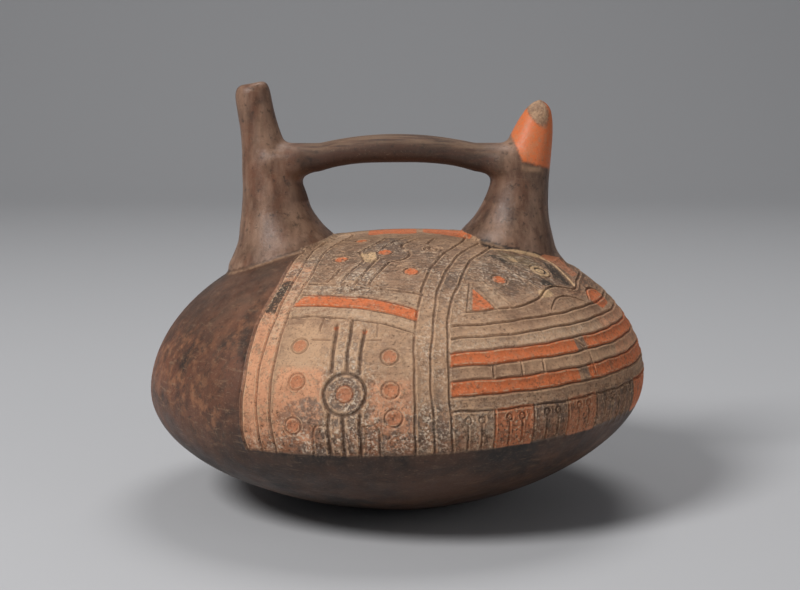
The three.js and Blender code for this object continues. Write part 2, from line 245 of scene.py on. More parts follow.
dots = [
    ((-23.4, 28), 2.8), ((-22, 15.6), 2.8), ((-21.9, 1.2), 2.8), ((-1.7, 24.5), 2.9), ((-1.4, 13.2), 2.9),
    ((-0.7, 4.2), 2.9), ((-28.4, 74), 2.5), ((5.5, 64.5), 2.6), ((36, 54.6), 2.7),
    ((-39, 95), 2.2),
]
bareDot = {"place": (22.4, 82.5), "radius": 3.0, "inner": 1.5}
eye = {"place": (58.3, 55), "radius": 4.0, "centre": 1.9}


def mouthLine(index):
    low, high = mouthBands["from"]
    rise = mouthBands["lowest"] + mouthBands["pitch"] * index
    start = low + (high - low) * (index / (mouthBands["count"] - 1)) ** mouthBands["bend"]
    sag = mouthBands["sag"] * (1 - index / mouthBands["count"])
    middle = [(start + 90) / 2, rise - sag * mouthBands["halfWay"]]
    return roundTo([[start, rise], middle, [90, rise - sag]])


def fringeLines():
    lines = []
    for index in range(fringe["cells"]):
        start = fringe["first"] + fringe["cell"] * index
        for pin in fringe["pins"]:
            lines.append([[start + pin, fringe["head"] - 1], [start + pin, lowerEdge + fringe["short"]]])
            lines.append(circleAt((start + pin, fringe["head"]), fringe["headRadius"], 12))
        end = start + fringe["cell"]
        lines.append([[end, mouthBands["lowest"]], [end, lowerEdge + fringe["short"]]])
    return lines


# Three tools drew the lines: their width and depth in millimetres, and the clay raised beside them
strokes = {
    "stylus": {"width": 1.0, "depth": 0.48, "burr": 0.26},
    "gouge": {"width": 1.45, "depth": 0.75, "burr": 0.26},
    "point": {"width": 0.85, "depth": 0.38, "burr": 0.2},
}
hand = {"step": 1.2, "waver": 0.16, "long": 5.3, "short": 2.1, "shortShare": 0.7}


def beside(line, distance):  # the line moved sideways on the wall by millimetres
    azimuths, rises = line.T
    ring = np.maximum(np.hypot(*onWall(azimuths, rises)[:, :2].T), 1) * pi / 180
    along = np.stack([np.gradient(azimuths) * ring, np.gradient(rises) * stepLength], axis=-1)
    along /= np.maximum(np.linalg.norm(along, axis=1, keepdims=True), 1e-9)
    return np.stack([
        azimuths - along[:, 1] * distance / ring,
        rises + along[:, 0] * distance / stepLength,
    ], axis=-1)


def byHand(line, order):  # the small waver of a hand, another one in each line
    run = np.arange(len(line)) * hand["step"]
    swing = np.sin(run / hand["long"] + order * 2.3) + hand["shortShare"] * np.sin(run / hand["short"] + order * 1.1)
    return beside(line, hand["waver"] * swing)


def drawn(lines):
    return [byHand(smoothLine(line), order) for order, line in enumerate(lines)]


framing = [*ornament["endLines"], *ornament["faceLines"], *map(mouthLine, range(mouthBands["count"]))]
drawnLines = {
    "stylus": [
        circleAt(bareDot["place"], bareDot["radius"], 24),
        circleAt(bareDot["place"], bareDot["inner"], 16),
        *drawn(map(overBack, [*framing, roundTo(ornament["brow"])])),
        *drawn([*ornament["crossLines"], ornament["nose"], *ornament["crownFigure"]]),
    ],
    "gouge": [
        circleAt(discs[0]["place"], discs[0]["radius"]),
        *drawn(ornament["stems"]),
    ],
    "point": [
        *[circleAt(disc["place"], disc["pit"], 24) for disc in discs],
        *[circleAt(place, radius, 24) for place, radius in dots],
        circleAt(eye["place"], eye["radius"], 30),
        circleAt(eye["place"], eye["centre"], 16),
        *map(smoothLine, [*ornament["feet"], *ornament["forehead"]]),
        *[smoothLine(ornament[name]) for name in ("maskEdge", "maskFold", "lid")],
        *[smoothLine(line, 0.8) for line in fringeLines()],
    ],
}
print("lines drawn:", {tool: len(lines) for tool, lines in drawnLines.items()})


# Skin of the jar: rows of points along every line, a wider net between them
skin = {
    "rows": (0, 0.5, 1.0, 1.45, 2.2), "net": 2.3, "clear": 1.0, "closest": 0.24,
    "edgeRise": -10, "turns": 300, "rowsBelow": 34, "footRings": 6, "edgeGap": 0.8, "rowPitch": 0.866,
}


def meshObject(name, vertices, faces, edges=()):
    mesh = bpy.data.meshes.new(name)
    mesh.from_pydata(np.asarray(vertices, float).tolist(), list(edges), [list(face) for face in faces])
    mesh.validate()
    made = bpy.data.objects.new(name, mesh)
    bpy.context.collection.objects.link(made)
    return made


def thinned(points, closest):  # keeps the first of the points that share a small cell
    cells = np.round(points / closest).astype(int)
    _, first = np.unique(cells, axis=0, return_index=True)
    return points[np.sort(first)]


def skinPoints():
    rows = []
    for share in skin["rows"]:
        for tool, lines in drawnLines.items():
            half = strokes[tool]["width"] / 2
            for line in lines:
                for side in (-1, 1)[: 1 if share == 0 else 2]:
                    rows.append(toSheet(beside(line, side * share * half)))
    rows = np.concatenate(rows)
    rim = sheetHeight - skin["edgeRise"]
    rows = rows[np.hypot(*rows.T) < rim - skin["edgeGap"]]
    near = kdtree.KDTree(len(rows))
    for index, (x, y) in enumerate(rows):
        near.insert((x, y, 0), index)
    near.balance()
    pitch = skin["net"]
    count = int(rim / pitch) + 1
    high = int(count / skin["rowPitch"]) + 1
    net = np.array([
        ((i + 0.5 * (j % 2)) * pitch, j * pitch * skin["rowPitch"])
        for j in range(-high, high + 1) for i in range(-count, count + 1)
    ])
    net = net[np.hypot(*net.T) < rim - skin["edgeGap"] * pitch]
    net = np.array([point for point in net if near.find((*point, 0))[2] > skin["clear"]])
    turns = np.linspace(0, 2 * pi, skin["turns"], endpoint=False)
    edge = rim * np.stack([np.sin(turns), -np.cos(turns)], axis=-1)
    return edge, thinned(np.concatenate([rows, net]), skin["closest"])


def makeJar():
    edge, inner = skinPoints()
    flat = [Vector(point) for point in np.concatenate([edge, inner]).tolist()]
    points, _, faces, *_ = delaunay_2d_cdt(flat, [], [], 0, 1e-5)
    sheet = np.array([tuple(point) for point in points])
    places = fromSheet(sheet)
    vertices = [onWall(*places.T)]
    rim = np.where(np.hypot(*sheet.T) > sheetHeight - skin["edgeRise"] - 1e-3)[0]
    order = rim[np.argsort(np.degrees(np.arctan2(sheet[rim, 0], -sheet[rim, 1])) % 360)]
    azimuths = places[order, 0]
    faces = [tuple(face) for face in faces]
    lowest = wallRises[0]
    base = len(sheet)
    ring = order
    below = np.linspace(skin["edgeRise"], lowest, skin["rowsBelow"] + 1)[1:]
    for rise in below:
        vertices.append(onWall(azimuths, np.full(len(azimuths), rise)))
        ring, base = joinRings(faces, ring, base)
    for share in np.linspace(1, 0, skin["footRings"] + 1)[1:-1]:
        flatRing = vertices[-1] * [1, 1, 0]
        vertices.append(flatRing / np.hypot(*flatRing[0][:2]) * jarForm["footRadius"] * share)
        ring, base = joinRings(faces, ring, base)
    vertices.append(np.zeros((1, 3)))
    faces += [(ring[i], ring[(i + 1) % len(ring)], base) for i in range(len(ring))]
    return meshObject("jarSkin", np.concatenate(vertices) * mm, faces)


def joinRings(faces, ring, base):
    following = np.arange(base, base + len(ring))
    for i in range(len(ring)):
        k = (i + 1) % len(ring)
        faces.append((ring[i], ring[k], following[k], following[i]))
    return following, base + len(ring)


def outwards(thing):  # makes every face point out
    work = bmesh.new()
    work.from_mesh(thing.data)
    bmesh.ops.recalc_face_normals(work, faces=work.faces)
    if work.calc_volume(signed=True) < 0:
        bmesh.ops.reverse_faces(work, faces=work.faces)
    work.to_mesh(thing.data)
    work.free()
    return thing


jarSkin = outwards(makeJar())
print("jar skin:", len(jarSkin.data.vertices), "points,", len(jarSkin.data.polygons), "faces")

# Spouts: [height over the crown, place along x, radius]
spouts = {
    "open": [
        (-18, -41, 20), (-12, -41, 20.6), (-8, -39.8, 20), (-3, -39.3, 18.6), (2.7, -41.9, 15.3),
        (8.5, -43.7, 12.8), (14.3, -44.5, 11.6), (23, -46.1, 10), (31, -47.9, 8.2), (37.3, -49.5, 7.1),
        (45.8, -51.3, 6.5), (51.8, -52.2, 6.1), (53, -52.3, 5.9),
    ],
    "blind": [
        (-17, 41, 20.6), (-12, 41, 21.2), (-7, 39.6, 18.9), (-0.3, 39.4, 17), (5.6, 41.4, 13.8),
        (14.3, 43.6, 11.2), (23, 45.1, 10.1), (31.5, 47.3, 8.6), (37.3, 48.9, 7.2), (42.4, 50.2, 5.6),
        (45.8, 51, 3.8), (48, 51.4, 1.7), (48.7, 51.5, 0.6),
    ],
    "sides": 72, "step": 0.9, "spoutWall": 2.2, "lipWall": 1.9, "blindWall": 4,
    "boreRadius": 11.5, "hollowTop": 38,
    "lipSlope": 0.19, "lipRound": 1.15, "slopeFrom": 44, "overcut": 4,
}
bridge = {
    "crestUp": 35.8, "crestFall": 3.2, "soffitUp": 25.7, "soffitFall": 3.4, "halfSpan": 28, "halfWidth": 8.5,
    "filletRun": 8, "filletDrop": 3.4, "filletSpread": 1.7, "squareness": 0.85, "sides": 56, "step": 1.0,
}


def smoothed(xs, ys, wanted):  # a cubic through the stations
    xs, ys = np.asarray(xs, float), np.asarray(ys, float)
    slopes = np.gradient(ys, xs)
    index = np.clip(np.searchsorted(xs, wanted) - 1, 0, len(xs) - 2)
    width = xs[index + 1] - xs[index]
    t = (wanted - xs[index]) / width
    return (
        ys[index] * (1 + 2 * t) * (1 - t) ** 2 + slopes[index] * width * t * (1 - t) ** 2
        + ys[index + 1] * t ** 2 * (3 - 2 * t) + slopes[index + 1] * width * t ** 2 * (t - 1)
    )


def loft(name, rings):
    count = len(rings[0])
    faces = []
    for i in range(len(rings) - 1):
        for j in range(count):
            k = (j + 1) % count
            faces.append((i * count + j, i * count + k, (i + 1) * count + k, (i + 1) * count + j))
    faces.append(list(range(count))[::-1])
    faces.append(list(range((len(rings) - 1) * count, len(rings) * count)))
    return outwards(meshObject(name, np.concatenate(rings) * mm, faces))


def roundRing(up, x, radius, sides, slope=0.0):
    turn = np.linspace(0, 2 * pi, sides, endpoint=False)
    reach = radius * np.cos(turn)
    return np.stack([x + reach, radius * np.sin(turn), crownHeight + up + slope * reach], axis=-1)


def spoutRings(stations, thinner=0.0, widest=99.0, sides=72, most=99.0):
    ups, xs, radii = np.array(stations, float).T
    wanted = np.arange(ups[0], min(ups[-1], most), spouts["step"])
    slope = spouts["lipSlope"] if stations is spouts["open"] else 0
    rings = []
    for up in [*wanted, min(ups[-1], most)]:
        x = float(smoothed(ups, xs, up))
        radius = min(max(float(smoothed(ups, radii, up)) - thinner, 0.4), widest)
        tilt = slope * np.clip((up - spouts["slopeFrom"]) / (ups[-1] - spouts["slopeFrom"]), 0, 1)
        rings.append(roundRing(up, x, radius, sides, tilt))
    return rings


def openSpoutRings():
    rings = spoutRings(spouts["open"])
    up, x, radius = spouts["open"][-1]
    for turn in np.radians([25, 50, 75, 90]):  # the rounded lip
        drop = spouts["lipRound"] * (1 - np.cos(turn))
        rings.append(roundRing(up + spouts["lipRound"] * np.sin(turn), x, radius - drop, 72, spouts["lipSlope"]))
    return rings


def bridgeRings():
    middle = (bridge["crestUp"] + bridge["soffitUp"]) / 2
    ends = [float(smoothed(*np.array(spouts[name], float).T[:2], middle)) for name in ("open", "blind")]
    half = bridge["halfSpan"]
    turn = np.linspace(0, 2 * pi, bridge["sides"], endpoint=False)
    across, upward = (np.sign(v) * np.abs(v) ** bridge["squareness"] for v in (np.cos(turn), np.sin(turn)))
    rings = []
    for x in np.arange(ends[0], ends[1], bridge["step"]):
        share = min(abs(x) / half, 1)
        into = np.clip((abs(x) - half) / bridge["filletRun"], 0, 1) ** 2
        crest = crownHeight + bridge["crestUp"] - bridge["crestFall"] * share ** 2
        soffit = crownHeight + bridge["soffitUp"] - bridge["soffitFall"] * share ** 3 - bridge["filletDrop"] * into
        wide = bridge["halfWidth"] + bridge["filletSpread"] * into
        height = (crest + soffit) / 2 + upward * (crest - soffit) / 2
        rings.append(np.stack([np.full_like(turn, x), wide * across, height], axis=-1))
    return rings


def baked(thing, name):  # the result of the modifiers as a plain mesh
    depsgraph = bpy.context.evaluated_depsgraph_get()
    depsgraph.update()
    mesh = bpy.data.meshes.new_from_object(thing.evaluated_get(depsgraph), depsgraph=depsgraph)
    mesh.name = name
    thing.modifiers.clear()
    thing.data = mesh
    return thing


def joined(things, name):
    work = bmesh.new()
    for thing in things:
        work.from_mesh(thing.data)
        bpy.data.objects.remove(thing)
    mesh = bpy.data.meshes.new(name)
    work.to_mesh(mesh)
    work.free()
    made = bpy.data.objects.new(name, mesh)
    bpy.context.collection.objects.link(made)
    return made


neckwork = joined([
    loft("openSpout", openSpoutRings()),
    loft("blindSpout", spoutRings(spouts["blind"])),
    loft("strap", bridgeRings()),
], "neckwork")
clay = {"voxel": 0.85, "smoothing": 5, "smoothShare": 0.5}
remesh = neckwork.modifiers.new("oneSkin", "REMESH")
remesh.mode = "VOXEL"
remesh.voxel_size = clay["voxel"] * mm
thumbed = neckwork.modifiers.new("thumbed", "SMOOTH")
thumbed.factor = clay["smoothShare"]
thumbed.iterations = clay["smoothing"]
neckwork = outwards(baked(neckwork, "neckwork"))
print("spouts and bridge:", len(neckwork.data.polygons), "faces")


def hollowPieces():
    inside = dict(
        jarForm, radius=jarForm["radius"] - jarForm["wall"], footRadius=jarForm["footRadius"] - jarForm["wall"],
        girthHeight=jarForm["girthHeight"] - jarForm["footWall"], crownRise=jarForm["crownRise"] - jarForm["wall"],
    )
    turn = np.linspace(0, 2 * pi, 60, endpoint=False)
    rings = []
    for at in np.concatenate([np.linspace(-1, 0, 14, endpoint=False), np.linspace(0, 0.985, 20)]):
        radius, height = outline(inside, np.array(at))
        x = radius * np.cos(turn)
        z = height + jarForm["girthHeight"] + jarForm["lean"] * x * leanShare(jarForm, np.array(at))
        rings.append(np.stack([x, radius * np.sin(turn), z], axis=-1))
    cavity = loft("cavity", rings)
    up, x, radius = spouts["open"][-1]
    bore = spoutRings(spouts["open"], spouts["spoutWall"], spouts["boreRadius"], 36)
    bore.append(roundRing(up + spouts["overcut"], x, radius - spouts["lipWall"], 36, spouts["lipSlope"]))
    blind = spoutRings(spouts["blind"], spouts["blindWall"], spouts["boreRadius"], 36, spouts["hollowTop"])
    return [cavity, loft("bore", bore), loft("blindHollow", blind)]


def cut(thing, other, operation):
    tool = thing.modifiers.new(operation, "BOOLEAN")
    tool.operation = operation
    tool.solver = "MANIFOLD"
    tool.object = other
    baked(thing, thing.data.name)
    bpy.data.objects.remove(other)
    return thing


vessel = cut(jarSkin, neckwork, "UNION")
vessel.name = "incisedVessel"
print("joined:", len(vessel.data.polygons), "faces")


def arrays(mesh):
    points = np.empty(len(mesh.vertices) * 3)
    mesh.vertices.foreach_get("co", points)
    edges = np.empty(len(mesh.edges) * 2, int)
    mesh.edges.foreach_get("vertices", edges)
    return points.reshape(-1, 3), edges.reshape(-1, 2)


# Joins of jar, spouts and bridge, softened by a thumb: an angle in degrees, heights and reach in millimetres
joins = {"sharp": 16, "above": 60, "seamBelow": 9, "reach": 4.5, "fade": 1.5, "pull": 0.6, "times": 14}


def creasePoints(mesh, least):
    work = bmesh.new()
    work.from_mesh(mesh)
    found = {v.index for e in work.edges if e.is_manifold and e.calc_face_angle() > least for v in e.verts}
    work.free()
    return sorted(found)


def relax(thing, near):  # softens the surface near the given points
    points, edges = arrays(thing.data)
    tree = kdtree.KDTree(len(near))
    for index in near:
        tree.insert(points[index], index)
    tree.balance()
    distance = np.array([tree.find(point)[2] for point in points]) / mm
    weight = joins["pull"] * np.clip(1 - distance / joins["reach"], 0, 1)[:, None] ** joins["fade"]
    a, b = edges.T
    degree = np.maximum(np.bincount(np.concatenate([a, b]), minlength=len(points)), 1)[:, None]
    for _ in range(joins["times"]):
        total = np.stack([
            np.bincount(a, points[b, k], len(points)) + np.bincount(b, points[a, k], len(points)) for k in range(3)
        ], axis=-1)
        points = points + weight * (total / degree - points)
    thing.data.vertices.foreach_set("co", points.ravel())
    thing.data.update()


corners = vessel.data.vertices
creases = [i for i in creasePoints(vessel.data, radians(joins["sharp"])) if corners[i].co.z > joins["above"] * mm]
seams = kdtree.KDTree(len(creases))
for order, index in enumerate(creases):
    if corners[index].co.z < (crownHeight + joins["seamBelow"]) * mm:
        seams.insert(corners[index].co, order)
seams.balance()
relax(vessel, creases)
for piece in hollowPieces():
    cut(vessel, piece, "DIFFERENCE")
print("hollowed:", len(vessel.data.polygons), "faces")
for polygon in vessel.data.polygons:
    polygon.use_smooth = True


def lineObject(tool):  # the tool's strokes as strings of edges on the wall
    points, edges = [], []
    for line in drawnLines[tool]:
        start = len(points)
        points += (onWall(*line.T) * mm).tolist()
        edges += [(i, i + 1) for i in range(start, len(points) - 1)]
    return meshObject(tool + "Lines", points, [], edges)


def newTree(kind, name, inputs, outputs):
    tree = bpy.data.node_groups.new(name, kind)
    for side, sockets in (("INPUT", inputs), ("OUTPUT", outputs)):
        for label, (form, *value) in sockets.items():
            socket = tree.interface.new_socket(label, in_out=side, socket_type="NodeSocket" + form)
            if value:
                socket.default_value = value[0]
    return tree, tree.nodes.new("NodeGroupInput").outputs, tree.nodes.new("NodeGroupOutput").inputs


def place(tree, kind, values=None, **settings):
    node = tree.nodes.new(kind)
    for name, setting in settings.items():
        setattr(node, name, setting)
    for name, value in (values or {}).items():
        if isinstance(value, bpy.types.NodeSocket):
            tree.links.new(value, node.inputs[name])
        else:
            node.inputs[name].default_value = value
    return node


def stored(tree, name):
    return place(tree, "GeometryNodeInputNamedAttribute", {"Name": name}, data_type="FLOAT").outputs[0]


def noise(tree, **values):
    named = {name.capitalize(): value for name, value in values.items()}
    return place(tree, "ShaderNodeTexNoise", named).outputs[0]


def closed(tree, geometry, given, result):  # real geometry with its finish on
    real = place(tree, "GeometryNodeRealizeInstances", {"Geometry": geometry}).outputs[0]
    final = place(tree, "GeometryNodeSetMaterial", {"Geometry": real, "Material": given["Finish"]})
    tree.links.new(final.outputs[0], result["Geometry"])
    return tree


def calc(tree, operation, *values, clamp=False):
    return place(tree, "ShaderNodeMath", dict(enumerate(values)), operation=operation, use_clamp=clamp).outputs[0]


def ramp(tree, value, low, high):
    values = {"Value": value, "From Min": low, "From Max": high}
    return place(tree, "ShaderNodeMapRange", values, interpolation_type="SMOOTHSTEP").outputs["Result"]


# A line pressed into the wall: a pointed bed, with the clay that it pushed aside along both edges
groove = {"bed": (1.05, 0.05), "burrRise": (0.9, 1.45), "burrFall": (2.15, 1.5)}  # in half widths


def pressedLine():
    tree, given, result = newTree("GeometryNodeTree", "pressedLine", {
        "Geometry": ("Geometry",), "Lines": ("Object",), "Width": ("Float", 1.2), "Depth": ("Float", 0.6),
        "Burr": ("Float", 0.15), "Unevenness": ("Float", 0.8), "Finish": ("Material",),
    }, {"Geometry": ("Geometry",)})
    lines = place(tree, "GeometryNodeObjectInfo", {"Object": given["Lines"]}, transform_space="RELATIVE")
    near = place(tree, "GeometryNodeProximity", {0: lines.outputs["Geometry"]}, target_element="EDGES")
    uneven = noise(tree, scale=0.4 / mm, detail=3.0)
    swing = calc(tree, "MULTIPLY_ADD", calc(tree, "SUBTRACT", uneven, 0.5), given["Unevenness"], 1)
    away = calc(tree, "DIVIDE", near.outputs["Distance"], calc(tree, "MULTIPLY", given["Width"], mm / 2))
    bed = ramp(tree, calc(tree, "DIVIDE", away, swing), *groove["bed"])
    burr = calc(tree, "MULTIPLY", *(ramp(tree, away, *groove[name]) for name in ("burrRise", "burrFall")))
    geometry = given["Geometry"]
    for name, share, most in (("sunk", bed, "Depth"), ("raised", burr, "Burr")):
        both = calc(tree, "MAXIMUM", stored(tree, name), calc(tree, "MULTIPLY", share, given[most]))
        store = {"Geometry": geometry, "Name": name, "Value": both}
        geometry = place(tree, "GeometryNodeStoreNamedAttribute", store, data_type="FLOAT", domain="POINT").outputs[0]
    return closed(tree, geometry, given, result)


# The wall gives way under the lines, and keeps the small dents of the hands that made it
def pressedWall():
    tree, given, result = newTree("GeometryNodeTree", "pressedWall", {
        "Geometry": ("Geometry",), "Dent Depth": ("Float", 0.3), "Dent Size": ("Float", 30.0),
        "Grain Depth": ("Float", 0.05), "Grain Size": ("Float", 4.0), "Finish": ("Material",),
    }, {"Geometry": ("Geometry",)})
    sunk = stored(tree, "sunk")
    free = calc(tree, "SUBTRACT", 1, calc(tree, "MULTIPLY", sunk, 6, clamp=True))  # no ridge where lines cross
    lift = calc(tree, "SUBTRACT", calc(tree, "MULTIPLY", stored(tree, "raised"), free), sunk)
    for depth, size in (("Dent Depth", "Dent Size"), ("Grain Depth", "Grain Size")):
        scale = calc(tree, "DIVIDE", 1 / mm, given[size])
        bumps = calc(tree, "SUBTRACT", noise(tree, scale=scale, detail=2.0), 0.5)
        swing = calc(tree, "MULTIPLY", bumps, given[depth])
        lift = calc(tree, "ADD", lift, swing)
    normal = place(tree, "GeometryNodeInputNormal").outputs[0]
    offset = place(
        tree, "ShaderNodeVectorMath", {0: normal, "Scale": calc(tree, "MULTIPLY", lift, mm)}, operation="SCALE"
    ).outputs[0]
    moved = place(tree, "GeometryNodeSetPosition", {"Geometry": given["Geometry"], "Offset": offset}).outputs[0]
    return closed(tree, moved, given, result)


def addTree(thing, name, tree, values):
    modifier = thing.modifiers.new(name, "NODES")
    modifier.node_group = tree
    for socket in tree.interface.items_tree:
        if socket.item_type == "SOCKET" and socket.name in values:
            modifier[socket.identifier] = values[socket.name]
    return modifier


finish = bpy.data.materials.new("smokedPaintedClay")
handmade = {"Dent Depth": 0.55, "Dent Size": 34.0, "Grain Depth": 0.1, "Grain Size": 4.5}
lineTree = pressedLine()
lineObjects = [lineObject(tool) for tool in strokes]
for lines, (tool, stroke) in zip(lineObjects, strokes.items()):
    values = {"Lines": lines, "Width": stroke["width"], "Depth": stroke["depth"], "Burr": stroke["burr"]}
    addTree(vessel, tool, lineTree, {**values, "Finish": finish})
addTree(vessel, "wall", pressedWall(), {**handmade, "Finish": finish})
baked(vessel, "incisedVessel")
for lines in lineObjects:
    bpy.data.objects.remove(lines)
print("lines pressed in:", len(vessel.data.polygons), "faces")

# Painted areas between the lines, as distances in from their edges
points = arrays(vessel.data)[0] / mm
upwards = np.empty(len(points) * 3, np.float32)
vessel.data.vertex_normals.foreach_get("vector", upwards)
upwards = upwards[2::3]
azimuths, rises, off = placeOf(points)
front = points[:, 1] < 0
mirrored = np.where(front, azimuths, np.sign(azimuths) * 180 - azimuths)
far = -6.0  # distances are kept up to this one, on either side of an edge
cornerGap = (5, 12)  # most degrees and steps from one corner of an area to the next
sheetPoints = toSheet(np.stack([mirrored, rises], axis=-1))
onJar = (off > -jarForm["wall"] / 2) & (off < 3)


def depthInside(area, bothSides=False):  # distance in from the edge of an area, negative outside it
    dense = [area[0]]
    for (a, b), (c, d) in zip(area, [*area[1:], area[0]]):
        steps = max(int(max(abs(c - a) / cornerGap[0], abs(d - b) / cornerGap[1])), 1)
        dense += [(a + (c - a) * k / steps, b + (d - b) * k / steps) for k in range(1, steps + 1)]
    corners = toSheet(dense)
    low, high = corners.min(axis=0) + far, corners.max(axis=0) - far
    chosen = onJar & ((sheetPoints >= low) & (sheetPoints <= high)).all(axis=1)
    if not bothSides:
        chosen &= front
    here = sheetPoints[chosen]
    nearest = np.full(len(here), 1e9)
    inside = np.zeros(len(here), bool)
    for start, end in zip(corners, corners[1:]):
        run = end - start
        length = max(run @ run, 1e-12)
        share = np.clip(((here - start) @ run) / length, 0, 1)[:, None]
        nearest = np.minimum(nearest, np.linalg.norm(here - start - share * run, axis=1))
        crosses = (start[1] > here[:, 1]) != (end[1] > here[:, 1])
        slant = run[1] if abs(run[1]) > 1e-9 else 1e-9
        inside ^= crosses & (here[:, 0] < start[0] + run[0] * (here[:, 1] - start[1]) / slant)
    result = np.full(len(points), far)
    result[chosen] = np.clip(np.where(inside, nearest, -nearest), far, -far)
    return result


def together(*areas):
    return np.maximum.reduce([depthInside(*area) if isinstance(area, tuple) else depthInside(area) for area in areas])


def between(low, high, start=-400, end=400):  # the strip between two lines, cut at its ends in degrees
    lower, upper = (smoothLine(line, 3).tolist() for line in (low, high))
    cutOff = [[place for place in line if start <= place[0] <= end] for line in (lower, upper)]
    return [*cutOff[0], *cutOff[1][::-1]]


def inBand(index, start=0, end=90):  # part of a mouth band, from its number counted from the lowest
    return between(mouthLine(index), mouthLine(index + 1), start, end), True


def box(start, end, low, high):
    return [(start, low), (end, low), (end, high), (start, high)]


def ring(place, outer, inner):
    return [*circleAt(place, outer, 20).tolist(), *circleAt(place, inner, 20)[::-1].tolist()]


def edging(line, width):  # a strip along the left of a line
    drawn = smoothLine(line)
    return [*drawn.tolist(), *beside(drawn, width)[::-1].tolist()]


def disc(place, radius):
    return circleAt(place, radius, 20)[:-1].tolist()


endLines, crossLines = ornament["endLines"], ornament["crossLines"]
cellStart = [fringe["first"] + fringe["cell"] * index for index in range(fringe["cells"] + 1)]
low = lowerEdge - 0.5


def fringeCell(index, end=None):
    return box(cellStart[index], end or cellStart[index + 1], low, mouthBands["lowest"]), True


